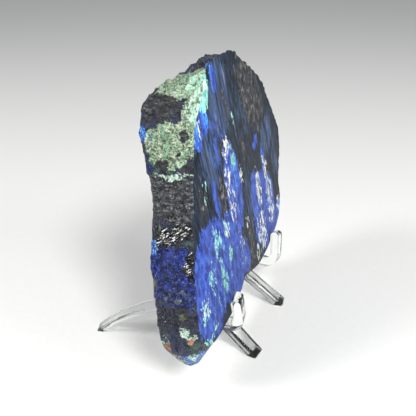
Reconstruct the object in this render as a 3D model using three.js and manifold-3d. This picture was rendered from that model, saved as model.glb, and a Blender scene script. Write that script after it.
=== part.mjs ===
// Azurite malachite slab leaning on a clear acrylic easel.
// Units are millimetres, +Z is up and the polished face looks along -Y.
import * as THREE from 'three';
import { mergeVertices } from 'three/addons/utils/BufferGeometryUtils.js';
import Module from 'manifold-3d';

const wasm = await Module();
wasm.setup();

// Clearance kept between pieces that touch
const TOUCH_GAP = 0.3;

// The slab: its front is a flat polished face, its rim is natural and its back is sawn flat.
// Heights are measured up the polished face from the line that rests on the easel's seats.
const SLAB = {
  leanDegrees: 4,
  seatFront: 10.2,
  seatHeight: 26.4,
  footThickness: 19.5,
  thickening: 0.023,
  widestDepth: 0.45,
  outlineSamples: 176,
  depthShares: [0, 0.05, 0.14, 0.28, 0.45, 0.6, 0.74, 0.86, 0.95, 1],
};

// Matching points of the widest rim, the polished face and the sawn back, as [across, height]
const SLAB_OUTLINE = [
  { rim: [-75.5, 10], face: [-74.5, 19], back: [-74.5, 12] },
  { rim: [-76.8, 34], face: [-75.6, 35], back: [-75, 34] },
  { rim: [-76.2, 50], face: [-75, 50], back: [-74, 50] },
  { rim: [-74.2, 66], face: [-73, 66], back: [-68.5, 66] },
  { rim: [-71.8, 80], face: [-71, 80], back: [-65.5, 81] },
  { rim: [-69.4, 94], face: [-68, 94], back: [-67, 94] },
  { rim: [-66.5, 106], face: [-64.5, 106], back: [-67.8, 107.5] },
  { rim: [-57.5, 118], face: [-54.5, 120], back: [-62.5, 118] },
  { rim: [-47, 124.5], face: [-47, 130.5], back: [-48, 121.5] },
  { rim: [-30, 126.5], face: [-30, 132], back: [-30, 121.5] },
  { rim: [-17, 129], face: [-17, 132], back: [-17, 121] },
  { rim: [-6.5, 126], face: [-7, 126.8], back: [-8, 119] },
  { rim: [9.5, 119], face: [8.5, 119.8], back: [7, 113] },
  { rim: [29, 108.5], face: [27.5, 109], back: [26, 104] },
  { rim: [46.5, 89], face: [45, 89.5], back: [44, 86] },
  { rim: [59, 77], face: [57.5, 77], back: [56, 75] },
  { rim: [62.5, 62], face: [61, 62], back: [60, 61] },
  { rim: [59.5, 45], face: [58, 45], back: [57.5, 45] },
  { rim: [62, 29], face: [60.5, 30], back: [59, 31] },
  { rim: [59.5, 17], face: [57.5, 20], back: [56, 21] },
  { rim: [51, 6], face: [49, 13.5], back: [48, 13] },
  { rim: [40, 1], face: [39, 10.5], back: [39, 7] },
  { rim: [27, 0.6], face: [28, 8.5], back: [27, 6.5] },
  { rim: [10, 2], face: [10, 8], back: [10, 8] },
  { rim: [-9, 5], face: [-9, 13.5], back: [-9, 10] },
  { rim: [-22, 2.5], face: [-21, 9], back: [-22, 8.5] },
  { rim: [-31, 0.6], face: [-31, 5.5], back: [-31, 7] },
  { rim: [-43, 0.6], face: [-43, 4.8], back: [-43, 7.5] },
  { rim: [-56, -2], face: [-58, 5], back: [-57, 5] },
  { rim: [-69, -3.5], face: [-69, 9.5], back: [-69, 3] },
];

// Broken lumps of the rim: waves round the outline and through the thickness, on all but the seats
const RIM_LUMPS = [
  { reach: 0.55, round: 11, deep: 1.0, phase: 0.4 },
  { reach: 0.45, round: 19, deep: 2.3, phase: 2.1 },
  { reach: 0.35, round: 31, deep: 3.4, phase: 4.4 },
  { reach: 0.25, round: 47, deep: 5.2, phase: 1.3 },
];
const SEAT_CALM_HEIGHT = 9;

// Bands of the near end of the rim that stand proud (+) or lie back (-), between two heights at
// the polished face. A band drops by its fall on the way to the back.
const RIM_LEDGES = [
  { from: 68, to: 74, proud: 1.1, fall: 10 },
  { from: 75, to: 91, proud: -1.2, fall: 4 },
  { from: 92, to: 115, proud: 0.9, fall: -3 },
];
const LEDGE_EDGE = 2;
const LEDGE_END_X = -48;

// The easel: two upright acrylic plates that flare outwards, tied by two bars
const EASEL_MIDDLE_X = 2;
const PLATE = {
  thickness: 7,
  frontX: 27.5,
  toeOutDegrees: 5.5,
  flareDegrees: 12.4,
};

// Profile of one plate, as distances behind the front toes and heights over the table
const PROFILE = {
  bar: 5,
  hookFront: 5.3,
  hookLean: 1,
  hookTop: 43.4,
  seatTop: 25.8,
  bendRadius: 3.2,
  uprightFront: 31.2,
  uprightLeanDegrees: 6.8,
  uprightWidth: 4.4,
  uprightTop: 84,
  rearLegStart: [34, 30.6],
  rearLegBend: [63.5, 29.6],
  rearLegFoot: [93.7, -3.4],
  rearLegWidth: 2.5,
};

// Tie bars, as the centre of their section and its size
const LOWER_BAR = { back: 24, height: 20.2, depth: 6, rise: 5 };
const UPPER_BAR = { back: 38, height: 68, depth: 4.4, rise: 7 };

// Front legs: straight bars that run down from the lower bar and splay towards their toes
const FRONT_LEG = {
  spread: 26.2,
  toe: [-2, 1.2],
  width: 8,
  height: 4.5,
  length: 33,
  slopeDegrees: 40,
  splayDegrees: 8,
};

const FLOOR_BLOCK = 400;
const CURVE_STEPS = 10;
const radians = THREE.MathUtils.degToRad;

const slabMaterial = new THREE.MeshStandardMaterial({
  color: 0x2c3f96,
  roughness: 0.3,
  metalness: 0,
});
const acrylicMaterial = new THREE.MeshStandardMaterial({
  color: 0xe6eef0,
  roughness: 0.05,
  metalness: 0,
});

/** Gives a closed geometry's shared corners as one solid that can be joined or cut. */
function toSolid(geometry) {
  const bare = geometry.clone();
  bare.deleteAttribute('normal');
  bare.deleteAttribute('uv');
  const merged = mergeVertices(bare, 1e-4);
  return new wasm.Manifold(new wasm.Mesh({
    numProp: 3,
    vertProperties: new Float32Array(merged.attributes.position.array),
    triVerts: new Uint32Array(merged.index.array),
  }));
}

/** Turns a solid back into a geometry. */
function toGeometry(solid) {
  const mesh = solid.getMesh();
  const geometry = new THREE.BufferGeometry();
  geometry.setAttribute('position', new THREE.BufferAttribute(mesh.vertProperties, 3));
  geometry.setIndex(new THREE.BufferAttribute(mesh.triVerts, 1));
  geometry.computeVertexNormals();
  return geometry;
}

/** Closed smooth curve through one of the three outlines. */
function outlineCurve(which) {
  const points = SLAB_OUTLINE.map((row) => new THREE.Vector3(row[which][0], row[which][1], 0));
  return new THREE.CatmullRomCurve3(points, true, 'centripetal');
}

/** How far the near end of the rim stands out at a place, from its ledges. */
function ledgeOffset(x, height, depthShare) {
  const nearEnd = 1 - THREE.MathUtils.smoothstep(x, LEDGE_END_X - 6, LEDGE_END_X);
  const bands = RIM_LEDGES.reduce((sum, ledge) => {
    const level = height + ledge.fall * depthShare;
    const start = THREE.MathUtils.smoothstep(level, ledge.from - LEDGE_EDGE, ledge.from);
    const end = THREE.MathUtils.smoothstep(level, ledge.to, ledge.to + LEDGE_EDGE);
    return sum + ledge.proud * (start - end);
  }, 0);
  return nearEnd * bands;
}

/** How far the rim's lumps stand out at a share of the way round and through. */
function lumpOffset(round, deep, height) {
  const calm = THREE.MathUtils.smoothstep(height, SEAT_CALM_HEIGHT / 2, SEAT_CALM_HEIGHT);
  const waves = RIM_LUMPS.reduce((sum, lump) => {
    const turn = 2 * Math.PI * (lump.round * round + lump.deep * deep) + lump.phase;
    return sum + lump.reach * Math.sin(turn);
  }, 0);
  return calm * waves;
}

/** One ring of the slab's skin, at a share of the way from the polished face to the back. */
function slabRing(curves, depthShare) {
  const { widestDepth, outlineSamples } = SLAB;
  const inFront = depthShare < widestDepth;
  const toWidest = depthShare / widestDepth;
  const pastWidest = (depthShare - widestDepth) / (1 - widestDepth);
  const blend = inFront ? Math.sin(toWidest * Math.PI / 2) : 1 - Math.cos(pastWidest * Math.PI / 2);
  const middle = Math.sin(Math.PI * THREE.MathUtils.clamp(depthShare, 0.08, 0.92));
  const ring = [];
  for (let i = 0; i < outlineSamples; i += 1) {
    const round = i / outlineSamples;
    const start = inFront ? curves.face.getPoint(round) : curves.rim.getPoint(round);
    const end = inFront ? curves.rim.getPoint(round) : curves.back.getPoint(round);
    const point = start.lerp(end, blend);
    const along = curves.rim.getTangent(round);
    const outward = new THREE.Vector2(-along.y, along.x);
    const lumps = lumpOffset(round, depthShare, point.y);
    const ledges = ledgeOffset(point.x, point.y, depthShare);
    const offset = middle * (lumps + ledges);
    const x = point.x + outward.x * offset;
    const height = point.y + outward.y * offset;
    const thickness = SLAB.footThickness + SLAB.thickening * height;
    ring.push(new THREE.Vector3(x, thickness * depthShare, height));
  }
  return ring;
}

/** The slab: rings of rim between two flat faces. */
function slabGeometry() {
  const curves = { rim: outlineCurve('rim'), face: outlineCurve('face'), back: outlineCurve('back') };
  const rings = SLAB.depthShares.map((share) => slabRing(curves, share));
  const count = SLAB.outlineSamples;
  const indices = [];
  for (let r = 0; r + 1 < rings.length; r += 1) {
    for (let i = 0; i < count; i += 1) {
      const next = (i + 1) % count;
      const corners = [r * count + i, r * count + next, (r + 1) * count + next, (r + 1) * count + i];
      indices.push(corners[0], corners[1], corners[2], corners[0], corners[2], corners[3]);
    }
  }
  const capTriangles = (ring) => THREE.ShapeUtils.triangulateShape(
    ring.map((p) => new THREE.Vector2(p.x, p.z)),
    [],
  );
  const lastRing = (rings.length - 1) * count;
  capTriangles(rings[0]).forEach(([a, b, c]) => indices.push(a, b, c));
  capTriangles(rings.at(-1)).forEach(([a, b, c]) => indices.push(lastRing + a, lastRing + c, lastRing + b));
  const geometry = new THREE.BufferGeometry().setFromPoints(rings.flat());
  geometry.setIndex(indices);
  geometry.computeVertexNormals();
  return geometry;
}

/** Outline of one easel plate: hook, seat, upright and curved rear leg in one piece. */
function plateShape() {
  const p = PROFILE;
  const seatUnder = p.seatTop - p.bar;
  const hookInner = p.hookFront + p.bar;
  const bend = new THREE.Vector2(hookInner + p.bendRadius, p.seatTop + p.bendRadius);
  const hookTip = new THREE.Vector2(p.hookFront + p.hookLean + p.bar / 2, p.hookTop - p.bar / 2);

  // Upright: leans back with the slab
  const lean = Math.tan(radians(p.uprightLeanDegrees));
  const uprightFrontAt = (height) => p.uprightFront + lean * (height - p.seatTop);
  const uprightBackAt = (height) => uprightFrontAt(height) + p.uprightWidth;
  const tipRadius = p.uprightWidth / 2;
  const tipHeight = p.uprightTop - tipRadius;

  // Rear leg: one curve, offset to either side of its centre line
  const half = p.rearLegWidth / 2;
  const start = new THREE.Vector2(...p.rearLegStart);
  const bent = new THREE.Vector2(...p.rearLegBend);
  const foot = new THREE.Vector2(...p.rearLegFoot);
  const normalOf = (from, to) => new THREE.Vector2(from.y - to.y, to.x - from.x).normalize();
  const startNormal = normalOf(start, bent);
  const footNormal = normalOf(bent, foot);
  const bendNormal = startNormal.clone().add(footNormal).normalize();
  const bendReach = half / bendNormal.dot(startNormal);
  const rearLegSide = (side) => ({
    root: start.clone().addScaledVector(startNormal, side * half),
    bend: bent.clone().addScaledVector(bendNormal, side * bendReach),
    foot: foot.clone().addScaledVector(footNormal, side * half),
  });
  const under = rearLegSide(-1);
  const over = rearLegSide(1);

  const shape = new THREE.Shape();
  shape.moveTo(p.hookFront, bend.y);
  shape.absarc(bend.x, bend.y, p.bendRadius + p.bar, Math.PI, 1.5 * Math.PI, false);
  shape.lineTo(uprightBackAt(seatUnder), seatUnder);
  shape.lineTo(uprightBackAt(under.root.y), under.root.y);
  shape.quadraticCurveTo(under.bend.x, under.bend.y, under.foot.x, under.foot.y);
  shape.lineTo(over.foot.x, over.foot.y);
  shape.quadraticCurveTo(over.bend.x, over.bend.y, uprightBackAt(over.root.y), over.root.y);
  shape.lineTo(uprightBackAt(tipHeight), tipHeight);
  shape.absarc(uprightFrontAt(tipHeight) + tipRadius, tipHeight, tipRadius, 0, Math.PI, false);
  shape.lineTo(uprightFrontAt(p.seatTop), p.seatTop);
  shape.lineTo(bend.x, p.seatTop);
  shape.absarc(bend.x, bend.y, p.bendRadius, 1.5 * Math.PI, Math.PI, true);
  shape.lineTo(hookInner + p.hookLean, hookTip.y);
  shape.absarc(hookTip.x, hookTip.y, p.bar / 2, 0, Math.PI, false);
  shape.closePath();
  return shape;
}

/** Places a plate-sized thing on one side (-1 left, +1 right): toed out and flared. */
function placeOnSide(object, side) {
  object.rotation.order = 'ZYX';
  object.rotation.z = -side * radians(PLATE.toeOutDegrees);
  object.rotation.y = side * radians(PLATE.flareDegrees);
  object.position.x = EASEL_MIDDLE_X + side * PLATE.frontX;
  object.updateMatrix();
  return object;
}

/** Block that fills everything below the table, seen from an object's own axes. */
function floorBlockFor(object) {
  const block = new THREE.BoxGeometry(FLOOR_BLOCK, FLOOR_BLOCK, FLOOR_BLOCK);
  block.translate(0, 0, -FLOOR_BLOCK / 2);
  block.applyMatrix4(object.matrix.clone().invert());
  return block;
}

/** One easel plate, extruded from its outline and cut flat where it meets the table. */
function easelPlate(name, side) {
  const plate = placeOnSide(new THREE.Mesh(new THREE.BufferGeometry(), acrylicMaterial), side);
  const sheet = new THREE.ExtrudeGeometry(plateShape(), {
    depth: PLATE.thickness,
    bevelEnabled: false,
    curveSegments: CURVE_STEPS,
  });
  // The outline's (back, height) plane becomes the plate's (y, z) plane, centred on x
  sheet.applyMatrix4(new THREE.Matrix4().makeBasis(
    new THREE.Vector3(0, 1, 0),
    new THREE.Vector3(0, 0, 1),
    new THREE.Vector3(1, 0, 0),
  ));
  sheet.translate(-PLATE.thickness / 2, 0, 0);
  plate.geometry = toGeometry(toSolid(sheet).subtract(toSolid(floorBlockFor(plate))));
  plate.name = name;
  return plate;
}

/** Solid of a tie bar that ends just short of both plates. */
function tieBarSolid(bar) {
  const length = FLOOR_BLOCK / 2;
  const box = new THREE.BoxGeometry(length, bar.depth, bar.rise);
  box.translate(0, bar.back, bar.height);
  return [-1, 1].reduce((solid, side) => {
    const outside = new THREE.BoxGeometry(FLOOR_BLOCK, FLOOR_BLOCK, FLOOR_BLOCK);
    outside.translate(side * (FLOOR_BLOCK / 2 - PLATE.thickness / 2 - TOUCH_GAP), 0, 0);
    outside.applyMatrix4(placeOnSide(new THREE.Object3D(), side).matrix);
    return solid.subtract(toSolid(outside));
  }, toSolid(box));
}

/** Solid of one front leg, with the top of its toe at the stated place, cut flat at the table. */
function frontLegSolid(side) {
  const { spread, toe, width, height, length, slopeDegrees, splayDegrees } = FRONT_LEG;
  const bar = new THREE.BoxGeometry(width, length, height);
  bar.translate(0, length / 2, -height / 2);
  bar.rotateX(radians(slopeDegrees));
  bar.rotateZ(side * radians(splayDegrees));
  bar.translate(EASEL_MIDDLE_X + side * spread, toe[0], toe[1]);
  return toSolid(bar).subtract(toSolid(floorBlockFor(new THREE.Object3D())));
}

/** A clear piece of the easel, made from its solid. */
function acrylicPiece(name, solid) {
  const mesh = new THREE.Mesh(toGeometry(solid), acrylicMaterial);
  mesh.name = name;
  return mesh;
}

/** The slab, tipped back on the easel. */
function leaningSlab() {
  const mesh = new THREE.Mesh(slabGeometry(), slabMaterial);
  mesh.name = 'slab';
  mesh.rotation.x = -radians(SLAB.leanDegrees);
  mesh.position.set(0, SLAB.seatFront, SLAB.seatHeight);
  return mesh;
}

const display = new THREE.Group();
display.add(leaningSlab());
display.add(easelPlate('left_easel_plate', -1));
display.add(easelPlate('right_easel_plate', 1));
const lowerBar = tieBarSolid(LOWER_BAR);
display.add(acrylicPiece('front_leg_bar', lowerBar.add(frontLegSolid(-1)).add(frontLegSolid(1))));
display.add(acrylicPiece('upper_tie_bar', tieBarSolid(UPPER_BAR)));

// The origin sits on the table under the middle of the whole object
display.updateMatrixWorld(true);
const box = new THREE.Box3().setFromObject(display, true);
const middle = box.getCenter(new THREE.Vector3());
display.position.set(-middle.x, -middle.y, -box.min.z);

const part = new THREE.Group();
part.add(display);
export default part;
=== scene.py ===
"""Azurite malachite slab on its clear acrylic easel: finishes, dressed pieces, light and camera."""
import logging
import math
from collections.abc import Iterator
from contextlib import contextmanager
from dataclasses import dataclass, field
from enum import Enum

import bpy
from mathutils import Euler, Matrix, Vector


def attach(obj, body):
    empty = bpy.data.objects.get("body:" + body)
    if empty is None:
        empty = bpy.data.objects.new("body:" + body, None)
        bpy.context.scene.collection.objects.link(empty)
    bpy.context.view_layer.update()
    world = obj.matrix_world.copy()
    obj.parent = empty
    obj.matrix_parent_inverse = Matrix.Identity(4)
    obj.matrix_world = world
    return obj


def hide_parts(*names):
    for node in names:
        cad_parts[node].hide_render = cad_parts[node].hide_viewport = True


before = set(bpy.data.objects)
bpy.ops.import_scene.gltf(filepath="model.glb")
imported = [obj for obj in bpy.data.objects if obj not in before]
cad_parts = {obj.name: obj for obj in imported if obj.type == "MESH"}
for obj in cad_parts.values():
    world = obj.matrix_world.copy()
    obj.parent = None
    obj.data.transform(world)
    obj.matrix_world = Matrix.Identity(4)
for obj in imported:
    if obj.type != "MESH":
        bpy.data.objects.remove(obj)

LOG = logging.getLogger("slab_scene")

MM = 0.001
BODY = "root"

# Corners of a solid that lie closer than this, in metres, are one corner
MERGE_REACH = 0.00002
# Noise seldom leaves this range, which is stretched to 0 and 1
NOISE_RANGE = (0.28, 0.72)
# A patch fades out this far past its half size, and is full inside this share of its fall
PATCH_MARGIN = 1.25
PATCH_FULL = 0.64

Colour = tuple[float, float, float]
Triple = tuple[float, float, float]
Socket = bpy.types.NodeSocket
Value = bpy.types.NodeSocket | float


class Side(Enum):
    """The three kinds of surface on the slab, as material slots."""

    FACE = 0
    RIM = 1
    BACK = 2


class Level(Enum):
    """What each light is for, as the share of its power that it gives."""

    KEY = 1.0
    FILL = 0.45
    RIM = 0.6


@dataclass(frozen=True)
class SlabFrame:
    """Where the slab's own axes sit: across, depth from the polished face, height up the face.

    The slab's lengths are millimetres, from the middle of the line that rests on the seats.
    """

    seat: Triple = (0.006966, -0.034935, 0.0264)
    lean: float = -4.0
    foot_thickness: float = 19.5
    thickening: float = 0.023

    def to_local(self) -> Matrix:
        """Gives the matrix from the object's metres to the slab's millimetres."""
        turn = Euler((math.radians(self.lean), 0.0, 0.0)).to_matrix().to_4x4()
        return Matrix.Scale(1 / MM, 4) @ (Matrix.Translation(Vector(self.seat)) @ turn).inverted()

    def thickness(self, height: float) -> float:
        """Gives the slab's thickness at a height, in millimetres."""
        return self.foot_thickness + self.thickening * height


SLAB_FRAME = SlabFrame()

# How far the streaks of the stone lean from upright, as a turn about the depth axis
STREAK_TURN = -19.3


@dataclass(frozen=True)
class Patch:
    """Soft-edged ellipsoid where a mineral gathers, in the slab's millimetres.

    Attributes:
        at: Centre, as across, depth and height.
        reach: Half sizes along the patch's own three axes.
        amount: How strongly the mineral gathers at the centre.
        lean: Turn about the depth axis, in degrees.
        pitch: Turn about the across axis, in degrees.
    """

    at: Triple
    reach: Triple
    amount: float = 1.0
    lean: float = 0.0
    pitch: float = 0.0


def streak(x: float, height: float, half: float, length: float, amount: float = 1.0,
           lean: float = STREAK_TURN) -> Patch:
    """Gives a patch that runs along the streaks of the polished face.

    Args:
        x: Place across the face.
        height: Place up the face.
        half: Half width.
        length: Half length along the streak.
        amount: Strength at the centre.
        lean: Turn about the depth axis, in degrees.

    Returns:
        A patch that goes deep into the stone.
    """
    return Patch((x, 0.0, height), (half, 60.0, length), amount, lean)


def end_patch(depth: float, height: float, half: float, rise: float, amount: float = 1.0,
              pitch: float = 0.0) -> Patch:
    """Gives a patch on the broken near end of the rim.

    Args:
        depth: Place behind the polished face.
        height: Place up the slab.
        half: Half size through the thickness.
        rise: Half height.
        amount: Strength at the centre.
        pitch: Turn about the across axis, in degrees.

    Returns:
        A patch that reaches a little way into the near end.
    """
    return Patch((-70.0, depth, height), (34.0, half, rise), amount, 0.0, pitch)


class Graph:
    """The nodes of one material, with short words for the steps that the finishes use."""

    def __init__(self, name: str) -> None:
        """Starts a material with a Principled shader on its output.

        Args:
            name: The material's name.
        """
        self.material: bpy.types.Material = bpy.data.materials.new(name)
        self.material.use_nodes = True
        self.tree: bpy.types.NodeTree = self.material.node_tree
        self.tree.nodes.clear()
        self.output: bpy.types.Node = self.tree.nodes.new("ShaderNodeOutputMaterial")
        self.shader: bpy.types.Node = self.tree.nodes.new("ShaderNodeBsdfPrincipled")
        self.tree.links.new(self.shader.outputs["BSDF"], self.output.inputs["Surface"])

    def feed(self, socket: Socket, value: Value | Colour) -> None:
        """Links a socket, or sets its constant.

        Args:
            socket: The input to feed.
            value: Another node's output, a number, a vector or a colour.
        """
        if isinstance(value, bpy.types.NodeSocket):
            self.tree.links.new(value, socket)
        elif socket.type == "RGBA":
            socket.default_value = (*value, 1.0)
        else:
            socket.default_value = value

    def dress(self, name: str, value: Value | Colour) -> None:
        """Feeds one of the shader's own inputs."""
        self.feed(self.shader.inputs[name], value)

    def node(self, kind: str, **settings: str | bool) -> bpy.types.Node:
        """Adds a node and sets its options.

        Args:
            kind: The node's type without the shader prefix.
            settings: Options of the node.

        Returns:
            The new node.
        """
        made = self.tree.nodes.new("ShaderNode" + kind)
        for option, choice in settings.items():
            setattr(made, option, choice)
        return made

    def place(self, vector: Socket, at: Triple = (0.0, 0.0, 0.0), turn: Triple = (0.0, 0.0, 0.0),
              size: Triple = (1.0, 1.0, 1.0)) -> Socket:
        """Measures a vector from another origin, along turned axes, in other units.

        Args:
            vector: The vector to measure.
            at: The new origin.
            turn: The new axes, as degrees about x, y and z.
            size: The length of one unit along each new axis.

        Returns:
            The measured vector.
        """
        made = self.node("Mapping", vector_type="TEXTURE")
        self.feed(made.inputs["Vector"], vector)
        made.inputs["Location"].default_value = at
        made.inputs["Rotation"].default_value = [math.radians(angle) for angle in turn]
        made.inputs["Scale"].default_value = size
        return made.outputs["Vector"]

    def metres(self) -> Socket:
        """Gives the piece's own coordinates, in metres."""
        return self.node("TexCoord").outputs["Object"]

    def slab_place(self) -> Socket:
        """Gives the place on the slab: across, depth and height in millimetres."""
        return self.place(self.metres(), SLAB_FRAME.seat, (SLAB_FRAME.lean, 0.0, 0.0), (MM, MM, MM))

    def noise(self, vector: Socket, scale: float, detail: float = 4.0, rough: float = 0.55,
              twist: float = 0.0) -> bpy.types.Node:
        """Adds a noise texture.

        Args:
            vector: Where to read it.
            scale: Waves in one unit.
            detail: How many finer layers it has.
            rough: How strong the finer layers are.
            twist: How far it distorts itself.

        Returns:
            The noise node.
        """
        made = self.node("TexNoise")
        self.feed(made.inputs["Vector"], vector)
        made.inputs["Scale"].default_value = scale
        made.inputs["Detail"].default_value = detail
        made.inputs["Roughness"].default_value = rough
        made.inputs["Distortion"].default_value = twist
        return made

    def cloud(self, vector: Socket, scale: float, detail: float = 4.0, rough: float = 0.55,
              twist: float = 0.0) -> Socket:
        """Gives noise stretched to the whole range from 0 to 1.

        Args:
            vector: Where to read it.
            scale: Waves in one unit.
            detail: How many finer layers it has.
            rough: How strong the finer layers are.
            twist: How far it distorts itself.

        Returns:
            The stretched noise.
        """
        made = self.noise(vector, scale, detail, rough, twist)
        return self.span(made.outputs["Fac"], *NOISE_RANGE, soft=False)

    def sway(self, vector: Socket, guide: Socket, scale: float, reach: Triple) -> Socket:
        """Shifts a vector about by noise, so that edges wander.

        Args:
            vector: The vector to shift.
            guide: Where the noise is read.
            scale: Waves in one unit of the guide.
            reach: The whole width of the shift along each axis.

        Returns:
            The shifted vector.
        """
        wander = self.noise(guide, scale, 3.0).outputs["Color"]
        made = self.node("VectorMath", operation="MULTIPLY_ADD")
        self.feed(made.inputs[0], wander)
        made.inputs[1].default_value = reach
        made.inputs[2].default_value = [-0.5 * part for part in reach]
        moved = self.node("Mapping", vector_type="POINT")
        self.feed(moved.inputs["Vector"], vector)
        self.feed(moved.inputs["Location"], made.outputs["Vector"])
        return moved.outputs["Vector"]

    def sum(self, operation: str, first: Value, second: Value, third: Value = 0.0) -> Socket:
        """Adds one step of arithmetic.

        Args:
            operation: The step, as the node names it.
            first: First number.
            second: Second number.
            third: Third number, where the step has one.

        Returns:
            The result.
        """
        made = self.node("Math", operation=operation)
        for socket, value in zip(made.inputs, (first, second, third)):
            self.feed(socket, value)
        return made.outputs["Value"]

    def span(self, value: Value, low: float, high: float, first: float = 0.0, last: float = 1.0,
             soft: bool = True) -> Socket:
        """Moves a number from one range to another, and holds it there.

        Args:
            value: The number.
            low: Start of its range.
            high: End of its range.
            first: Result at the start.
            last: Result at the end.
            soft: Whether the two ends are eased.

        Returns:
            The moved number.
        """
        made = self.node("MapRange", interpolation_type="SMOOTHSTEP" if soft else "LINEAR")
        for name, part in zip(("Value", "From Min", "From Max", "To Min", "To Max"),
                              (value, low, high, first, last)):
            self.feed(made.inputs[name], part)
        return made.outputs["Result"]

    def blend(self, share: Value, under: Socket | Colour, over: Socket | Colour) -> Socket:
        """Lays one colour over another.

        Args:
            share: How much of the upper colour shows.
            under: The lower colour.
            over: The upper colour.

        Returns:
            The mixed colour.
        """
        made = self.node("Mix", data_type="RGBA")
        self.feed(made.inputs[0], share)
        self.feed(made.inputs[6], under)
        self.feed(made.inputs[7], over)
        return made.outputs[2]

    def ramp(self, value: Socket, *stops: tuple[float, Colour]) -> Socket:
        """Turns a number into a colour.

        Args:
            value: The number.
            stops: Places and colours, in order.

        Returns:
            The colour.
        """
        made = self.node("ValToRGB")
        self.feed(made.inputs["Fac"], value)
        marks = made.color_ramp.elements
        while len(marks) < len(stops):
            marks.new(1.0)
        for mark, (place, colour) in zip(marks, stops):
            mark.position = place
            mark.color = (*colour, 1.0)
        return made.outputs["Color"]

    def gather(self, vector: Socket, patches: tuple[Patch, ...]) -> Socket:
        """Gives how strongly a mineral gathers, from all its patches.

        Args:
            vector: Place on the slab.
            patches: The mineral's patches.

        Returns:
            The strongest of the patches at that place.
        """
        total: Socket | None = None
        for patch in patches:
            reach = tuple(PATCH_MARGIN * part for part in patch.reach)
            inside = self.place(vector, patch.at, (patch.pitch, patch.lean, 0.0), reach)
            near = self.node("TexGradient", gradient_type="SPHERICAL")
            self.feed(near.inputs["Vector"], inside)
            here = self.span(near.outputs["Fac"], 0.0, PATCH_FULL, 0.0, patch.amount)
            total = here if total is None else self.sum("MAXIMUM", total, here)
        return total

    def speckle(self, amount: Value, noise: Socket, cover: float, rough: float = 0.8,
                low: float = 0.43, high: float = 0.52) -> Socket:
        """Gives the share of a mineral that shows, broken up by noise.

        Args:
            amount: How strongly it gathers, from 0 to 1.
            noise: The noise that breaks it up.
            cover: How full it is at the heart of a patch.
            rough: How strongly the noise breaks its edge.
            low: Where it starts to show.
            high: Where it shows fully.

        Returns:
            The share, from 0 to 1.
        """
        lifted = self.sum("MULTIPLY_ADD", amount, cover, -0.5 * rough)
        return self.span(self.sum("MULTIPLY_ADD", noise, rough, lifted), low, high)

    def lay(self, tint: Socket, place: Socket, patches: tuple[Patch, ...], noise: Socket,
            colour: Socket | Colour, *edge: float) -> Socket:
        """Lays a mineral over the stone where its patches are.

        Args:
            tint: The stone so far.
            place: Place on the slab.
            patches: The mineral's patches.
            noise: The noise that breaks them up.
            colour: The mineral's colour.
            edge: Cover, roughness and limits of the edge, as speckle takes them.

        Returns:
            The stone with the mineral.
        """
        return self.blend(self.speckle(self.gather(place, patches), noise, *edge), tint, colour)

    def bump(self, height: Socket, rise: float, strength: float = 1.0) -> None:
        """Gives the shader a relief finer than the mesh.

        Args:
            height: The relief, from 0 to 1.
            rise: Its height in metres.
            strength: How much of it shows.
        """
        made = self.node("Bump")
        made.inputs["Strength"].default_value = strength
        made.inputs["Distance"].default_value = rise
        self.feed(made.inputs["Height"], height)
        self.dress("Normal", made.outputs["Normal"])


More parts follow.
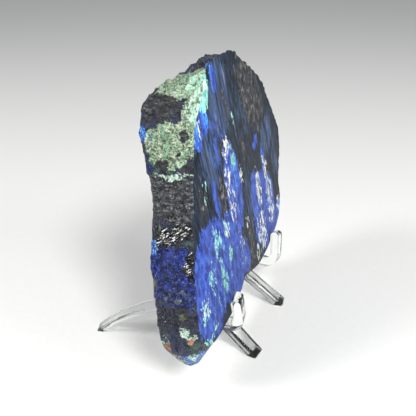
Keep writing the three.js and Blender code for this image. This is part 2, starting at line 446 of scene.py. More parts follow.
@dataclass(frozen=True)
class PolishedFace:
    """The flat, satin-polished front: azurite, malachite and pale matrix streaked on dark stone,
    with a steel-blue sheen painted into the colour in places.
    """

    name: str = "polished_face"
    azurite: tuple[Patch, ...] = (
        streak(-57, 36, 27, 34, 1.0, 0.0),
        streak(-30, 34, 20, 34),
        streak(-22, 68, 11, 31),
        streak(-46, 72, 4, 13, 0.9),
        streak(24, 37, 18, 32),
        streak(40, 33, 9, 26),
        streak(10, 52, 7, 16),
        streak(26, 68, 4, 12, 0.75),
        streak(55, 23, 9, 14, 0.7),
        streak(-61, 105, 6, 8),
        streak(-55, 112, 4, 11, 0.95),
        streak(-42, 126, 4, 9, 0.7),
        streak(12, 81, 6, 4, 0.7),
        streak(-40, 96, 14, 20, 0.42),
        streak(-10, 24, 10, 18, 0.62),
    )
    azure: tuple[Patch, ...] = (
        streak(-62, 106, 5, 7),
        streak(-54, 113, 4, 10),
        streak(-21, 76, 7, 16, 0.75),
        streak(-46, 127, 4, 9, 0.8),
        streak(-19, 104, 2.5, 6, 0.8),
        streak(38, 42, 10, 24, 0.6),
        streak(57, 24, 7, 10, 0.8),
    )
    # Where the steel-blue slate tone lies: partly the stone's own colour, partly a painted sheen of
    # reflected light
    slate_and_sheen: tuple[Patch, ...] = (
        streak(-35, 114, 17, 22),
        streak(-50, 92, 13, 20, 0.9),
        streak(32, 78, 20, 13, 0.8, -60.0),
        streak(50, 62, 9, 18, 0.7),
        streak(-5, 100, 18, 16, 0.55),
        streak(0, 50, 6, 30, 0.6),
    )
    earth: tuple[Patch, ...] = (
        streak(2, 113, 32, 15, 0.86, 62.0),
        streak(16, 100, 22, 12, 0.8, 50.0),
        streak(-37, 71, 3.6, 16, 1.1),
        streak(-8, 82, 2.4, 11, 0.9),
        streak(-11, 24, 9, 18, 0.85),
        streak(-3, 20, 5, 12, 0.9),
        streak(-28, 108, 3, 12, 0.75),
        streak(51, 24, 8, 10, 0.8),
        streak(-62, 78, 7, 8, 0.6),
    )
    malachite: tuple[Patch, ...] = (
        streak(-54, 121, 7, 11, 2.0),
        streak(-48, 50, 7, 18, 0.95),
        streak(-41, 28, 5, 13, 1.1),
        streak(-57, 36, 4.5, 13, 0.95),
        streak(-68, 26, 6, 9, 1.0),
        streak(-32, 38, 3.2, 6, 1.1),
        streak(-23, 84, 3.4, 12, 1.05),
        streak(-35, 56, 6, 9, 0.95),
        streak(-57, 14, 5, 5, 0.95),
        streak(-66, 9, 10, 4, 1.1, 15.0),
        streak(-27, 9, 5, 4, 1.1),
        streak(-21, 104, 2.4, 6, 0.9),
        streak(-60, 80, 5, 7, 0.8),
        streak(-47, 32, 26, 30, 0.66, 0.0),
        streak(12, 38, 4, 6, 0.85),
    )
    pale: tuple[Patch, ...] = (
        streak(-32, 91, 6, 7, 0.95),
        streak(-30, 76, 5, 15, 0.85),
        streak(-25, 60, 6, 12, 0.8),
        streak(-35, 53, 4, 8, 0.85),
        streak(-12, 70, 2.2, 8, 1.0),
        streak(-5, 43, 3, 5, 0.9),
        streak(17, 52, 6, 17, 0.98),
        streak(22, 24, 10, 19, 0.98),
        streak(13, 16, 5, 10, 0.95),
        streak(38, 36, 8, 22, 0.92),
        streak(30, 60, 4, 10, 1.0),
        streak(25, 68, 3, 6, 0.9),
        streak(-60, 109, 4, 8, 0.8),
        streak(56, 28, 6, 8, 0.9),
        streak(-14, 28, 8, 16, 0.62),
        streak(-66, 28, 5, 7, 0.75),
        streak(-52, 121, 4, 6, 0.8),
    )
    seams: tuple[Patch, ...] = (
        streak(21, 44, 1.6, 28, 0.95),
        streak(33, 56, 1.7, 20, 0.9),
        streak(1, 30, 3.4, 25, 1.0),
        streak(-36, 72, 2.6, 14, 0.9),
    )
    pepper: tuple[Patch, ...] = (
        streak(-15, 42, 10, 32),
        streak(-26, 66, 8, 22, 0.85),
        streak(-45, 30, 20, 26, 0.55),
    )

    def dress(self) -> bpy.types.Material:
        """Makes the material.

        Returns:
            The finished material.
        """
        graph = Graph(self.name)
        here = graph.slab_place()
        along = graph.place(here, turn=(0.0, STREAK_TURN, 0.0), size=(1.0, 1.0, 4.5))
        flow = graph.place(here, turn=(0.0, STREAK_TURN, 0.0), size=(1.0, 1.0, 2.4))
        drift = graph.sway(here, along, 0.09, (8.0, 0.0, 15.0))
        drift = graph.sway(drift, flow, 0.5, (3.6, 0.0, 6.0))

        broad = graph.cloud(along, 0.17, 5.0, 0.62)
        bands = graph.cloud(along, 0.55, 5.0, 0.65)
        threads = graph.cloud(along, 1.7, 4.0, 0.6)
        clots = graph.cloud(flow, 0.36, 6.0, 0.66, 0.5)
        flecks = graph.cloud(flow, 0.95, 5.0, 0.65, 0.4)
        grain = graph.cloud(here, 2.6, 3.0, 0.7)
        drawn = graph.place(here, turn=(0.0, STREAK_TURN, 0.0), size=(1.0, 1.0, 11.0))
        sheen_streaks = graph.cloud(drawn, 0.42, 5.0, 0.6, 0.3)
        ragged = graph.sum("MULTIPLY_ADD", flecks, 0.3, graph.sum("MULTIPLY", broad, 0.3))
        ragged = graph.sum("MULTIPLY_ADD", bands, 0.4, ragged)

        dark = graph.ramp(bands, (0.1, (0.005, 0.007, 0.010)), (0.45, (0.010, 0.016, 0.024)),
                          (0.7, (0.017, 0.026, 0.042)), (0.9, (0.034, 0.036, 0.038)))
        wisps = graph.speckle(graph.span(bands, 0.5, 0.9), threads, 0.55, 0.7)
        dark = graph.blend(graph.sum("MULTIPLY", wisps, 0.75), dark, (0.02, 0.045, 0.19))
        # Steel-blue slate tone, partly the stone's own and partly a painted satin sheen laid into
        # the colour
        steel_and_sheen = graph.ramp(sheen_streaks, (0.12, (0.010, 0.014, 0.026)), (0.34, (0.026, 0.042, 0.080)),
                           (0.52, (0.045, 0.075, 0.155)), (0.7, (0.065, 0.112, 0.235)),
                           (0.88, (0.17, 0.205, 0.25)))
        steel_and_sheen = graph.blend(graph.span(threads, 0.6, 0.95, 0.0, 0.6), steel_and_sheen, (0.012, 0.017, 0.03))
        tint = graph.lay(dark, drift, self.slate_and_sheen, bands, steel_and_sheen, 0.8, 1.1, 0.2, 0.75)
        specks = graph.cloud(flow, 0.62, 5.0, 0.72, 0.3)
        soil = graph.ramp(specks, (0.15, (0.009, 0.010, 0.012)), (0.42, (0.024, 0.025, 0.030)),
                          (0.6, (0.065, 0.064, 0.068)), (0.8, (0.25, 0.23, 0.205)))
        tint = graph.lay(tint, drift, self.earth, clots, soil, 0.72, 0.9, 0.34, 0.6)

        cobalt = graph.ramp(clots, (0.1, (0.010, 0.016, 0.08)), (0.32, (0.024, 0.046, 0.22)),
                            (0.52, (0.042, 0.088, 0.42)), (0.78, (0.066, 0.145, 0.52)))
        cobalt = graph.blend(graph.span(flecks, 0.66, 0.86, 0.0, 0.7), cobalt, (0.018, 0.024, 0.14))
        bright = graph.ramp(flecks, (0.15, (0.02, 0.065, 0.38)), (0.5, (0.03, 0.18, 0.64)),
                            (0.82, (0.20, 0.48, 0.78)))
        cobalt = graph.lay(cobalt, drift, self.azure, bands, bright, 0.6)
        tint = graph.lay(tint, drift, self.azurite, ragged, cobalt, 0.98, 0.95, 0.42, 0.5)
        gaps = graph.span(bands, 0.15, 0.55, 0.8, 0.3)
        holes = graph.speckle(gaps, threads, 0.55, 0.8, 0.46, 0.6)
        tint = graph.blend(graph.sum("MULTIPLY", holes, 0.7), tint, dark)
        tint = graph.lay(tint, drift, self.seams, threads, soil, 0.7, 0.8, 0.38, 0.55)

        greens = graph.ramp(flecks, (0.15, (0.05, 0.22, 0.22)), (0.45, (0.16, 0.50, 0.42)),
                            (0.7, (0.36, 0.68, 0.58)), (0.9, (0.62, 0.76, 0.62)))
        veins = graph.sum("MULTIPLY_ADD", flecks, 0.45, graph.sum("MULTIPLY", clots, 0.55))
        green_here = graph.gather(drift, self.malachite)
        green_share = graph.speckle(green_here, veins, 0.5, 1.0, 0.485, 0.545)
        tint = graph.blend(green_share, tint, greens)
        dust = graph.speckle(graph.gather(drift, self.pepper), threads, 0.34, 1.0, 0.56, 0.66)
        tint = graph.blend(graph.sum("MULTIPLY", dust, 0.8), tint, (0.52, 0.50, 0.44))
        creams = graph.ramp(grain, (0.2, (0.48, 0.55, 0.50)), (0.6, (0.74, 0.75, 0.66)),
                            (0.9, (0.88, 0.89, 0.84)))
        torn = graph.place(here, (11.0, 0.0, 40.0), (0.0, STREAK_TURN - 4.0, 0.0), (1.0, 1.0, 2.6))
        shreds = graph.cloud(torn, 0.5, 5.0, 0.68, 0.3)
        pale_share = graph.speckle(graph.gather(drift, self.pale), shreds, 0.5, 1.0, 0.46, 0.53)
        tint = graph.blend(pale_share, tint, creams)

        shade = graph.span(grain, 0.0, 1.0, 0.74, 1.0, soft=False)
        tint = graph.blend(shade, (0.004, 0.005, 0.008), tint)
        graph.dress("Base Color", tint)
        rough = graph.sum("MULTIPLY_ADD", pale_share, 0.12, graph.span(grain, 0.0, 1.0, 0.42, 0.58))
        graph.dress("Roughness", graph.sum("MULTIPLY_ADD", green_share, 0.06, rough))
        graph.dress("Specular IOR Level", 0.2)
        graph.dress("IOR", 1.3)
        relief = graph.sum("MULTIPLY_ADD", pale_share, -0.5, grain)
        graph.bump(graph.sum("MULTIPLY_ADD", threads, 0.5, relief), 0.00004, 0.8)
        return graph.material


@dataclass(frozen=True)
class NaturalRim:
    """The stone's broken skin: malachite, charcoal and navy bands with a wet gloss, and white glints
    painted into the colour.
    """

    name: str = "natural_rim"
    malachite: tuple[Patch, ...] = (
        end_patch(10, 103, 14, 10.5),
        end_patch(2, 116, 6, 12),
        Patch((-52.0, 8.0, 125.0), (16.0, 16.0, 7.0), 1.0, 0.0, -20.0),
        Patch((-40.0, 12.0, 123.0), (12.0, 12.0, 6.0), 0.8),
        Patch((20.0, 12.0, 112.0), (26.0, 9.0, 8.0), 0.6, 30.0),
        Patch((60.0, 12.0, 40.0), (8.0, 10.0, 16.0), 0.65),
        Patch((0.0, 12.0, 3.0), (22.0, 9.0, 5.0), 0.6),
    )
    charcoal: tuple[Patch, ...] = (
        end_patch(16, 116.5, 11, 4.6, 1.0, 6.0),
        end_patch(4, 106, 2.4, 2.4, 0.95),
        end_patch(13, 95.5, 3.4, 3.0, 1.0),
        end_patch(5, 99.5, 1.8, 1.3, 0.8),
    )
    granular: tuple[Patch, ...] = (
        end_patch(10, 81, 18, 12.0),
        Patch((40.0, 10.0, 95.0), (22.0, 14.0, 14.0), 0.8),
    )
    ledge: tuple[Patch, ...] = (
        end_patch(10, 66, 16, 4.6, 1.1, -28.0),
        end_patch(2, 55, 3.0, 8.0, 0.75),
    )
    navy: tuple[Patch, ...] = (
        end_patch(10, 47, 18, 19.0),
        end_patch(21, 107, 3.0, 3.0, 0.9),
        end_patch(19, 94, 3.0, 2.0, 0.9),
        Patch((-44.0, 3.0, 131.0), (6.0, 5.0, 4.0), 1.0),
        end_patch(9, 4, 4.0, 5.5, 0.9),
        Patch((62.0, 10.0, 68.0), (10.0, 12.0, 14.0), 0.9),
        Patch((-20.0, 10.0, 4.0), (20.0, 10.0, 5.0), 0.8),
    )
    gloom: tuple[Patch, ...] = (
        end_patch(13, 25, 14, 8.0, 0.9),
    )
    rust: tuple[Patch, ...] = (
        end_patch(4, 15.5, 2.0, 1.8),
        end_patch(17, 8, 1.8, 3.0, 0.9),
    )
    olive: tuple[Patch, ...] = (
        end_patch(10, 38, 12, 7.0, 0.75),
        end_patch(7, 28, 3.0, 2.0, 1.1),
        end_patch(20, 42, 3.0, 6.0, 0.9),
        end_patch(17, 70, 4.0, 5.0, 0.7),
        Patch((30.0, 10.0, 60.0), (60.0, 20.0, 60.0), 0.45),
    )
    mint: tuple[Patch, ...] = (
        end_patch(1, 118, 5.0, 11.0, 1.0),
        Patch((-50.0, 4.0, 126.0), (7.0, 7.0, 6.0), 0.9),
    )
    azure: tuple[Patch, ...] = (
        end_patch(5, 3, 5.0, 6.5, 1.2),
        end_patch(22, 107, 3.0, 4.0, 0.9),
        end_patch(20, 60, 4.0, 5.0, 0.7),
        Patch((-44.0, 2.0, 131.0), (6.0, 4.0, 4.0), 0.9),
    )
    crumbs: tuple[Patch, ...] = (
        end_patch(7, 21, 4.0, 4.0, 1.15),
        end_patch(3, 18, 3.0, 3.0, 1.1),
        end_patch(18, 13, 5.0, 5.0, 1.0),
        end_patch(5, 5, 3.0, 5.0, 1.15),
        end_patch(13, 2, 9.0, 4.0, 0.95),
        end_patch(9, 91, 12, 1.8, 1.1),
        end_patch(10, 126, 14, 5.0, 0.85),
        end_patch(3, 118, 3.5, 8.0, 1.1),
    )

    def dress(self) -> bpy.types.Material:
        """Makes the material.

        Returns:
            The finished material.
        """
        graph = Graph(self.name)
        here = graph.slab_place()
        drift = graph.sway(here, here, 0.11, (4.0, 6.0, 7.0))
        drift = graph.sway(drift, here, 0.5, (2.0, 2.6, 2.6))

        broad = graph.cloud(here, 0.1, 4.0, 0.6)
        lumps = graph.cloud(here, 0.22, 5.0, 0.68, 0.4)
        clots = graph.cloud(here, 0.42, 6.0, 0.72, 0.5)
        flecks = graph.cloud(here, 1.1, 5.0, 0.7)
        crumbs = graph.cloud(graph.place(here, (31.0, 17.0, 5.0)), 1.3, 4.0, 0.66)
        bedded = graph.place(here, turn=(6.0, 0.0, 0.0), size=(3.0, 3.0, 0.8))
        layers = graph.cloud(bedded, 0.9, 5.0, 0.7)
        # Sloped noise that lays the painted glints along the ledge
        sloped = graph.place(here, turn=(-28.0, 0.0, 0.0), size=(3.0, 3.0, 0.9))
        ledge_glint_noise = graph.cloud(sloped, 1.4, 4.0, 0.66)

        wild = graph.ramp(broad, (0.2, (0.014, 0.016, 0.019)), (0.42, (0.018, 0.022, 0.04)),
                          (0.55, (0.014, 0.022, 0.11)), (0.7, (0.024, 0.03, 0.045)),
                          (0.86, (0.05, 0.12, 0.09)))
        stone = graph.ramp(clots, (0.1, (0.007, 0.008, 0.009)), (0.5, (0.022, 0.024, 0.027)),
                           (0.8, (0.07, 0.072, 0.075)), (0.95, (0.30, 0.30, 0.29)))
        tint = graph.blend(0.5, wild, stone)

        ash = graph.ramp(layers, (0.12, (0.006, 0.007, 0.008)), (0.42, (0.018, 0.02, 0.023)),
                         (0.64, (0.055, 0.06, 0.068)), (0.88, (0.24, 0.25, 0.26)))
        ash = graph.blend(graph.span(crumbs, 0.72, 0.84, 0.0, 0.6), ash, (0.30, 0.31, 0.31))
        tint = graph.lay(tint, drift, self.granular, lumps, ash, 0.95)

        deep = graph.ramp(clots, (0.12, (0.003, 0.004, 0.011)), (0.4, (0.005, 0.009, 0.045)),
                          (0.6, (0.010, 0.02, 0.14)), (0.82, (0.025, 0.055, 0.32)))
        deep = graph.blend(graph.span(crumbs, 0.66, 0.8, 0.0, 0.75), deep, (0.05, 0.10, 0.45))
        deep = graph.blend(graph.span(flecks, 0.2, 0.34, 0.85, 0.0), deep, (0.004, 0.005, 0.010))
        tint = graph.lay(tint, drift, self.navy, lumps, deep, 0.95)
        night = graph.ramp(flecks, (0.2, (0.005, 0.006, 0.009)), (0.6, (0.015, 0.017, 0.03)),
                           (0.9, (0.04, 0.045, 0.075)))
        tint = graph.lay(tint, drift, self.gloom, lumps, night, 0.8)

        greens = graph.ramp(flecks, (0.12, (0.02, 0.035, 0.028)), (0.32, (0.085, 0.13, 0.075)),
                            (0.5, (0.20, 0.28, 0.17)), (0.68, (0.36, 0.44, 0.31)),
                            (0.86, (0.66, 0.68, 0.53)))
        greens = graph.blend(graph.span(lumps, 0.5, 0.75, 0.0, 0.4), greens, (0.17, 0.42, 0.27))
        greens = graph.blend(graph.span(clots, 0.62, 0.76, 0.0, 0.8), greens, (0.62, 0.66, 0.50))
        greens = graph.blend(graph.span(crumbs, 0.28, 0.42, 0.9, 0.0), greens, (0.014, 0.02, 0.018))
        greens = graph.blend(graph.span(clots, 0.18, 0.34, 0.85, 0.0), greens, (0.03, 0.042, 0.042))
        greens = graph.blend(graph.span(layers, 0.74, 0.86, 0.0, 0.6), greens, (0.06, 0.15, 0.40))
        green_share = graph.speckle(graph.gather(drift, self.malachite), lumps, 0.95, 0.8)
        tint = graph.blend(green_share, tint, greens)
        minty = graph.ramp(flecks, (0.15, (0.12, 0.34, 0.26)), (0.5, (0.36, 0.66, 0.50)),
                           (0.8, (0.72, 0.80, 0.64)))
        tint = graph.lay(tint, drift, self.mint, clots, minty, 0.62, 1.0)
        soot = graph.ramp(layers, (0.2, (0.006, 0.007, 0.008)), (0.55, (0.02, 0.022, 0.025)),
                          (0.85, (0.12, 0.125, 0.13)))
        tint = graph.lay(tint, drift, self.charcoal, clots, soot, 0.95, 0.6)
        shelf_share = graph.gather(drift, self.ledge)
        black_share = graph.speckle(shelf_share, lumps, 0.9, 0.7)
        tint = graph.blend(black_share, tint, (0.004, 0.004, 0.006))

        moss = graph.speckle(graph.gather(drift, self.olive), clots, 0.5, 0.9)
        tint = graph.blend(graph.sum("MULTIPLY", moss, 0.85), tint, (0.10, 0.13, 0.05))
        chips = graph.ramp(flecks, (0.2, (0.12, 0.30, 0.25)), (0.5, (0.42, 0.60, 0.48)),
                           (0.8, (0.74, 0.77, 0.66)))
        sky = graph.ramp(flecks, (0.2, (0.008, 0.02, 0.10)), (0.45, (0.02, 0.075, 0.34)),
                         (0.68, (0.09, 0.28, 0.56)), (0.86, (0.50, 0.68, 0.66)))
        tint = graph.lay(tint, drift, self.azure, clots, sky, 0.75, 0.9)
        coarse = graph.sum("MULTIPLY_ADD", crumbs, 0.5, graph.sum("MULTIPLY", clots, 0.5))
        chip_share = graph.speckle(graph.gather(drift, self.crumbs), coarse, 0.46, 1.0, 0.44, 0.52)
        tint = graph.blend(chip_share, tint, chips)
        ochre = graph.ramp(crumbs, (0.2, (0.22, 0.075, 0.04)), (0.8, (0.50, 0.24, 0.13)))
        tint = graph.lay(tint, drift, self.rust, flecks, ochre, 0.75, 0.7)
        # Painted highlight: white glint streaks laid into the colour along the ledge
        painted_ledge_glints = graph.speckle(shelf_share, ledge_glint_noise, 0.36, 1.0, 0.5, 0.56)
        tint = graph.blend(painted_ledge_glints, tint, (0.72, 0.73, 0.72))
        # Painted highlight: small white sparkle specks laid into the colour over the rim
        painted_sparkle = graph.sum("MULTIPLY", graph.span(crumbs, 0.8, 0.87), graph.span(lumps, 0.4, 0.75))
        tint = graph.blend(graph.sum("MULTIPLY", painted_sparkle, 0.8), tint, (0.66, 0.68, 0.66))
        graph.dress("Base Color", tint)

        rough = graph.span(flecks, 0.1, 0.9, 0.12, 0.4)
        rough = graph.sum("MULTIPLY_ADD", black_share, -0.1, rough)
        graph.dress("Roughness", graph.sum("MULTIPLY_ADD", green_share, 0.1, rough))
        graph.dress("Specular IOR Level", 0.32)
        relief = graph.sum("MULTIPLY_ADD", flecks, 0.4, clots)
        relief = graph.sum("MULTIPLY_ADD", crumbs, 0.2, relief)
        graph.bump(relief, 0.0007, 0.9)
        return graph.material


@dataclass(frozen=True)
class SawnBack:
    """The sawn, unpolished back: the same minerals under fine saw scratches."""

    name: str = "sawn_back"
    azurite: tuple[Patch, ...] = (
        streak(-44, 40, 24, 34),
        streak(14, 48, 18, 34, 0.95),
        streak(40, 70, 9, 16, 0.8),
        streak(-30, 98, 9, 16, 0.8),
    )
    malachite: tuple[Patch, ...] = (
        streak(-58, 100, 10, 18),
        streak(-20, 58, 6, 26, 0.95),
        streak(36, 40, 5, 22, 0.9),
        streak(-48, 20, 8, 8, 0.9),
        streak(4, 104, 8, 10, 0.7),
    )
    pale: tuple[Patch, ...] = (
        streak(-12, 50, 5, 24, 0.8),
        streak(26, 26, 8, 14, 0.9),
        streak(-62, 88, 6, 8, 0.8),
    )

    def dress(self) -> bpy.types.Material:
        """Makes the material.

        Returns:
            The finished material.
        """
        graph = Graph(self.name)
        here = graph.slab_place()
        along = graph.place(here, turn=(0.0, STREAK_TURN, 0.0), size=(1.0, 1.0, 3.2))
        drift = graph.sway(here, along, 0.09, (12.0, 0.0, 18.0))
        drift = graph.sway(drift, along, 0.5, (3.0, 0.0, 5.0))
        bands = graph.cloud(along, 0.4, 5.0, 0.62)
        clots = graph.cloud(along, 0.9, 4.0, 0.6, 0.4)
        grain = graph.cloud(here, 2.2, 3.0, 0.7)
        saw = graph.cloud(graph.place(here, turn=(0.0, 8.0, 0.0), size=(40.0, 1.0, 0.6)), 1.0, 2.0)

        tint = graph.ramp(bands, (0.1, (0.02, 0.023, 0.028)), (0.5, (0.045, 0.052, 0.062)),
                          (0.85, (0.11, 0.105, 0.095)))
        blues = graph.ramp(clots, (0.15, (0.025, 0.04, 0.16)), (0.5, (0.06, 0.095, 0.36)),
                           (0.85, (0.12, 0.19, 0.52)))
        tint = graph.lay(tint, drift, self.azurite, bands, blues, 0.85)
        greens = graph.ramp(clots, (0.15, (0.06, 0.17, 0.13)), (0.5, (0.17, 0.38, 0.28)),
                            (0.85, (0.40, 0.60, 0.46)))
        tint = graph.lay(tint, drift, self.malachite, clots, greens, 0.62)
        tint = graph.lay(tint, drift, self.pale, grain, (0.60, 0.61, 0.54), 0.46)
        tint = graph.blend(graph.span(saw, 0.2, 1.0, 0.0, 0.16), tint, (0.34, 0.36, 0.37))
        graph.dress("Base Color", tint)
        graph.dress("Roughness", graph.span(grain, 0.0, 1.0, 0.55, 0.78))
        graph.dress("Specular IOR Level", 0.3)
        graph.bump(graph.sum("MULTIPLY_ADD", saw, 0.8, grain), 0.00008, 0.8)
        return graph.material


@dataclass(frozen=True)
class ClearAcrylic:
    """Clear moulded acrylic with polished sides and faint handling haze."""

    name: str = "clear_acrylic"
    index: float = 1.49
    absorbed: Colour = (0.80, 0.90, 0.88)
    density: float = 6.0

    def dress(self) -> bpy.types.Material:
        """Makes the material.

        Returns:
            The finished material.
        """
        graph = Graph(self.name)
        here = graph.place(graph.metres(), size=(MM, MM, MM))
        haze = graph.cloud(here, 0.25, 4.0, 0.6)
        rubbed = graph.place(here, turn=(24.0, 12.0, 40.0), size=(9.0, 0.5, 0.5))
        scuff = graph.cloud(rubbed, 1.0, 2.0)
        clear = graph.ramp(haze, (0.2, (0.965, 0.98, 0.975)), (0.8, (0.99, 0.995, 0.99)))
        graph.dress("Base Color", clear)
        graph.dress("Roughness", graph.sum("MULTIPLY_ADD", graph.span(scuff, 0.75, 1.0), 0.08,
                                           graph.span(haze, 0.2, 0.9, 0.012, 0.05)))
        graph.dress("Transmission Weight", 1.0)
        graph.dress("IOR", self.index)
        graph.bump(haze, 0.00012, 0.35)
        absorption = graph.node("VolumeAbsorption")
        graph.feed(absorption.inputs["Color"], self.absorbed)
        graph.feed(absorption.inputs["Density"], self.density)
        graph.tree.links.new(absorption.outputs["Volume"], graph.output.inputs["Volume"])
        return graph.material


@dataclass(frozen=True)
class PaleFloor:
    """Plain pale paper under the object."""

    name: str = "pale_floor"
    tone: Colour = (0.66, 0.66, 0.64)

    def dress(self) -> bpy.types.Material:
        """Makes the material.

        Returns:
            The finished material.
        """
        graph = Graph(self.name)
        weave = graph.cloud(graph.metres(), 260.0, 3.0)
        shade = tuple(0.97 * part for part in self.tone)
        graph.dress("Base Color", graph.blend(weave, shade, self.tone))
        graph.dress("Roughness", 0.7)
        graph.dress("Specular IOR Level", 0.25)
        return graph.material


class Bench:
    """The hand tools: pick up one piece, and copy or finish it."""

    @staticmethod
    def take(piece: bpy.types.Object) -> None:
        """Selects one piece alone and makes it active."""
        bpy.ops.object.select_all(action="DESELECT")
        piece.select_set(True)
        bpy.context.view_layer.objects.active = piece

    @staticmethod
    @contextmanager
    def editing() -> Iterator[None]:
        """Opens the active piece's mesh for editing, and closes it again.

        Yields:
            Nothing, while the mesh is open.
        """
        bpy.ops.object.mode_set(mode="EDIT")
        yield
        bpy.ops.object.mode_set(mode="OBJECT")

    @staticmethod
    def copy_of(node: str, name: str) -> bpy.types.Object:
        """Copies a solid and merges its loose corners.

        Args:
            node: The solid's name.
            name: The copy's name.

        Returns:
            The copy, with its own mesh and no material.
        """
        piece = bpy.data.objects.new(name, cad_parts[node].data.copy())
        piece.data.name = name
        piece.data.materials.clear()
        bpy.context.scene.collection.objects.link(piece)
        Bench.take(piece)
        with Bench.editing():
            bpy.ops.mesh.select_all(action="SELECT")
            bpy.ops.mesh.remove_doubles(threshold=MERGE_REACH)
        return piece

    @staticmethod
    def apply(piece: bpy.types.Object, kind: str, **settings: object) -> None:
        """Adds a modifier and applies it.

        Args:
            piece: The piece that is shaped.
            kind: The modifier's type.
            settings: The modifier's options.
        """
        Bench.take(piece)
        made = piece.modifiers.new(kind.lower(), kind)
        for option, choice in settings.items():
            setattr(made, option, choice)
        bpy.ops.object.modifier_apply(modifier=made.name)

    @staticmethod
    def hand_over(piece: bpy.types.Object, slot: str, *nodes: str) -> None:
        """Lets a piece ride on the object in place of its solids.

        Args:
            piece: The finished piece.
            slot: Not used.
            nodes: The solids that it stands for.
        """
        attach(piece, BODY)
        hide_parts(*nodes)
        LOG.info("%s: %d faces for %s", piece.name, len(piece.data.polygons), ", ".join(nodes))


@dataclass
class Relief:
    """One layer of the rim's broken relief.

    Attributes:
        name: What the layer is.
        kind: The kind of texture.
        grain: Size of its lumps in metres.
        rise: How far the lumps stand out in metres.
        depth: How many finer layers it has.
    """

    name: str
    kind: str
    grain: float
    rise: float
    depth: int = 2

    def texture(self) -> bpy.types.Texture:
        """Makes the texture that pushes the rim.

        Returns:
            The texture.
        """
        made = bpy.data.textures.new(self.name, self.kind)
        made.noise_scale = self.grain
        if self.kind == "CLOUDS":
            made.noise_depth = self.depth
        return made


@dataclass
class Stone:
    """The slab itself: flat polished front, broken rim and sawn back."""

    node: str = "slab"
    name: str = "slab_stone"
    cuts: int = 5
    edge_fade: float = 1.8
    seat_calm: tuple[float, float] = (5.0, 11.0)
    flat: float = 0.02
    seat_share: float = 0.15
    quad_angle: float = 60.0
    smooth: float = 50.0
    reliefs: tuple[Relief, ...] = (
        Relief("rim_lumps", "CLOUDS", 0.0075, 0.0018, 1),
        Relief("rim_chunks", "VORONOI", 0.0034, 0.0012),
        Relief("rim_grit", "CLOUDS", 0.0014, 0.0011, 2),
    )
    chips: tuple[Relief, ...] = (
        Relief("edge_chips", "CLOUDS", 0.0042, 0.0036, 2),
        Relief("edge_nicks", "CLOUDS", 0.0034, 0.0026, 2),
    )
    face: PolishedFace = field(default_factory=PolishedFace)
    rim: NaturalRim = field(default_factory=NaturalRim)
    back: SawnBack = field(default_factory=SawnBack)

    def side_of(self, depths: list[float], heights: list[float]) -> Side:
        """Tells which surface a face of the mesh belongs to.

        Args:
            depths: Its corners' depths in millimetres.
            heights: Its corners' heights in millimetres.

        Returns:
            The surface.
        """
        if max(depths) < self.flat:
            return Side.FACE
        if min(d - SLAB_FRAME.thickness(h) for d, h in zip(depths, heights)) > -self.flat:
            return Side.BACK
        return Side.RIM

    def sort_faces(self, piece: bpy.types.Object, wanted: Side) -> None:
        """Gives every face of the mesh its material slot, and selects one surface.

        Args:
            piece: The slab.
            wanted: The surface to select.
        """
        to_local = SLAB_FRAME.to_local()
        places = [to_local @ corner.co for corner in piece.data.vertices]
        for polygon in piece.data.polygons:
            corners = [places[i] for i in polygon.vertices]
            side = self.side_of([c.y for c in corners], [c.z for c in corners])
            polygon.material_index = side.value
            polygon.select = side is wanted

    def weigh_rim(self, piece: bpy.types.Object) -> tuple[str, str]:
        """Says where the rim is pushed: relief leaves the flat faces alone, chips reach their edges.

        Args:
            piece: The slab, with its rim subdivided.

        Returns:
            The names of the relief's and the chips' vertex groups.
        """
        relief = piece.vertex_groups.new(name="rim_relief")
        chips = piece.vertex_groups.new(name="rim_chips")
        to_local = SLAB_FRAME.to_local()
        low, high = self.seat_calm
        for corner in piece.data.vertices:
            place = to_local @ corner.co
            inside = min(place.y, SLAB_FRAME.thickness(place.z) - place.y)
            grown = min(max(inside / self.edge_fade, 0.0), 1.0)
            calm = min(max((place.z - low) / (high - low), 0.0), 1.0)
            relief.add([corner.index], grown * max(calm, self.seat_share), "REPLACE")
            chips.add([corner.index], calm, "REPLACE")
        return relief.name, chips.name

    def build(self) -> bpy.types.Object:
        """Models the slab from a copy of its solid.

        Returns:
            The slab.
        """
        piece = Bench.copy_of(self.node, self.name)
        with Bench.editing():
            bpy.ops.mesh.select_all(action="SELECT")
            bpy.ops.mesh.tris_convert_to_quads(face_threshold=math.radians(self.quad_angle),
                                               shape_threshold=math.radians(self.quad_angle))
            bpy.ops.mesh.select_all(action="DESELECT")
            bpy.ops.mesh.select_mode(type="FACE")
        self.dress(piece)
        for side in (Side.FACE, Side.BACK):
            self.sort_faces(piece, side)
            with Bench.editing():
                bpy.ops.mesh.dissolve_faces()
        self.sort_faces(piece, Side.RIM)
        with Bench.editing():
            bpy.ops.mesh.subdivide(number_cuts=self.cuts, smoothness=0.0)
        relief_group, chip_group = self.weigh_rim(piece)
        for chip, direction in zip(self.chips, ("X", "Z")):
            Bench.apply(piece, "DISPLACE", texture=chip.texture(), texture_coords="LOCAL",
                        strength=chip.rise, mid_level=0.5, direction=direction,
                        vertex_group=chip_group)
        for relief in self.reliefs:
            Bench.apply(piece, "DISPLACE", texture=relief.texture(), texture_coords="LOCAL",
                        strength=relief.rise, mid_level=0.5, vertex_group=relief_group)
        Bench.take(piece)
        bpy.ops.object.shade_smooth_by_angle(angle=math.radians(self.smooth))
        Bench.hand_over(piece, "stone", self.node)
        return piece

    def dress(self, piece: bpy.types.Object) -> None:
        """Gives the slab its three finishes, in the order of their slots."""
        for finish in (self.face, self.rim, self.back):
            piece.data.materials.append(finish.dress())


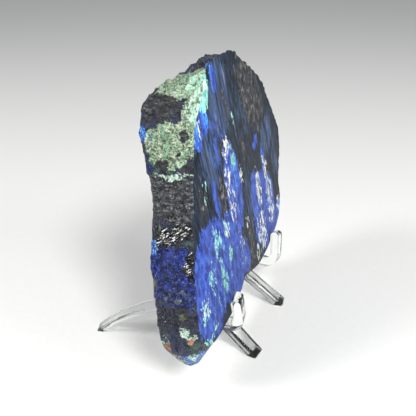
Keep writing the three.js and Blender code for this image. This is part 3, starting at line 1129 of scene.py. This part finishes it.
@dataclass
class Easel:
    """The clear easel: two flared sides, the bar with the front legs and the upper bar."""

    pieces: tuple[tuple[str, str], ...] = (
        ("left_easel_plate", "easel_left_side"),
        ("right_easel_plate", "easel_right_side"),
        ("front_leg_bar", "easel_front_legs"),
        ("upper_tie_bar", "easel_upper_bar"),
    )
    edge: float = 0.0005
    edge_steps: int = 3
    sharp: float = 40.0
    level_angle: float = 1.0
    smooth: float = 35.0
    finish: ClearAcrylic = field(default_factory=ClearAcrylic)

    def build(self) -> list[bpy.types.Object]:
        """Models the easel's pieces from copies of their solids, with softened edges.

        Returns:
            The pieces.
        """
        acrylic = self.finish.dress()
        return [self.build_piece(node, name, acrylic) for node, name in self.pieces]

    def build_piece(self, node: str, name: str, acrylic: bpy.types.Material) -> bpy.types.Object:
        """Models one piece.

        Args:
            node: Its solid.
            name: Its name.
            acrylic: The easel's material.

        Returns:
            The piece.
        """
        piece = Bench.copy_of(node, name)
        with Bench.editing():
            bpy.ops.mesh.select_all(action="SELECT")
            bpy.ops.mesh.dissolve_limited(angle_limit=math.radians(self.level_angle))
        Bench.apply(piece, "BEVEL", width=self.edge, segments=self.edge_steps, limit_method="ANGLE",
                    angle_limit=math.radians(self.sharp), use_clamp_overlap=True)
        Bench.take(piece)
        bpy.ops.object.shade_smooth_by_angle(angle=math.radians(self.smooth))
        piece.data.materials.append(acrylic)
        Bench.hand_over(piece, "acrylic", node)
        return piece


@dataclass(frozen=True)
class SoftLight:
    """One large soft light.

    Attributes:
        name: The light's name.
        at: Where it stands, in metres.
        size: Its width, in metres.
        watts: Its power.
        level: What it is for.
    """

    name: str
    at: Triple
    size: float
    watts: float
    level: Level

    def hang(self, target: Vector) -> None:
        """Hangs the light so that it faces the object.

        Args:
            target: Where it points.
        """
        lamp = bpy.data.lights.new(self.name, "AREA")
        lamp.shape = "DISK"
        lamp.size = self.size
        lamp.energy = self.watts * self.level.value
        holder = bpy.data.objects.new(self.name, lamp)
        holder.location = self.at
        holder.rotation_euler = (target - Vector(self.at)).to_track_quat("-Z", "Y").to_euler()
        bpy.context.scene.collection.objects.link(holder)


@dataclass
class Studio:
    """Pale floor, soft light and the camera."""

    floor_reach: float = 12.0
    camera_at: Triple = (-0.250234, -0.108635, 0.1997)
    camera_turn: Triple = (64.9, 0.0, -68.6)
    lens: float = 48.46
    sky: float = 0.5
    sky_tint: Colour = (0.95, 0.97, 1.0)
    aim: Triple = (0.0, 0.0, 0.07)
    sensor: float = 36.0
    lights: tuple[SoftLight, ...] = (
        SoftLight("key_light", (-0.7, -0.65, 0.9), 0.35, 17.0, Level.KEY),
        SoftLight("fill_light", (-0.15, -1.1, 0.55), 0.6, 14.0, Level.FILL),
        SoftLight("back_light", (-0.7, 0.6, 0.8), 0.35, 14.0, Level.RIM),
    )

    def build(self) -> None:
        """Lays the floor, hangs the lights and sets the camera."""
        self.lay_floor()
        for light in self.lights:
            light.hang(Vector(self.aim))
        self.light_sky()
        self.set_camera()

    def lay_floor(self) -> None:
        """Lays the pale floor."""
        bpy.ops.object.select_all(action="DESELECT")
        bpy.ops.mesh.primitive_plane_add(size=self.floor_reach, location=(0.0, 0.0, 0.0))
        floor = bpy.context.object
        floor.name = "studio_floor"
        floor.data.materials.append(PaleFloor().dress())

    def light_sky(self) -> None:
        """Fills the room with even light."""
        world = bpy.data.worlds.new("studio_room")
        world.use_nodes = True
        room = world.node_tree.nodes["Background"]
        room.inputs["Color"].default_value = (*self.sky_tint, 1.0)
        room.inputs["Strength"].default_value = self.sky
        bpy.context.scene.world = world

    def set_camera(self) -> None:
        """Sets the camera at the photograph's angle."""
        lens = bpy.data.cameras.new("photo_camera")
        lens.lens = self.lens
        lens.sensor_width = self.sensor
        lens.clip_start = 0.01
        lens.clip_end = 50.0
        camera = bpy.data.objects.new("photo_camera", lens)
        camera.location = self.camera_at
        camera.rotation_euler = [math.radians(angle) for angle in self.camera_turn]
        bpy.context.scene.collection.objects.link(camera)
        bpy.context.scene.camera = camera
        bpy.context.scene.view_settings.view_transform = "Standard"


def main() -> None:
    """Builds the slab, the easel and the studio, in that order."""
    logging.basicConfig(level=logging.INFO, format="%(message)s")
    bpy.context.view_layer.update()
    stone = Stone().build()
    LOG.info("stone ready: %s", stone.name)
    for piece in Easel().build():
        LOG.info("easel ready: %s", piece.name)
    Studio().build()
    LOG.info("studio ready")


if __name__ == "__main__":
    main()
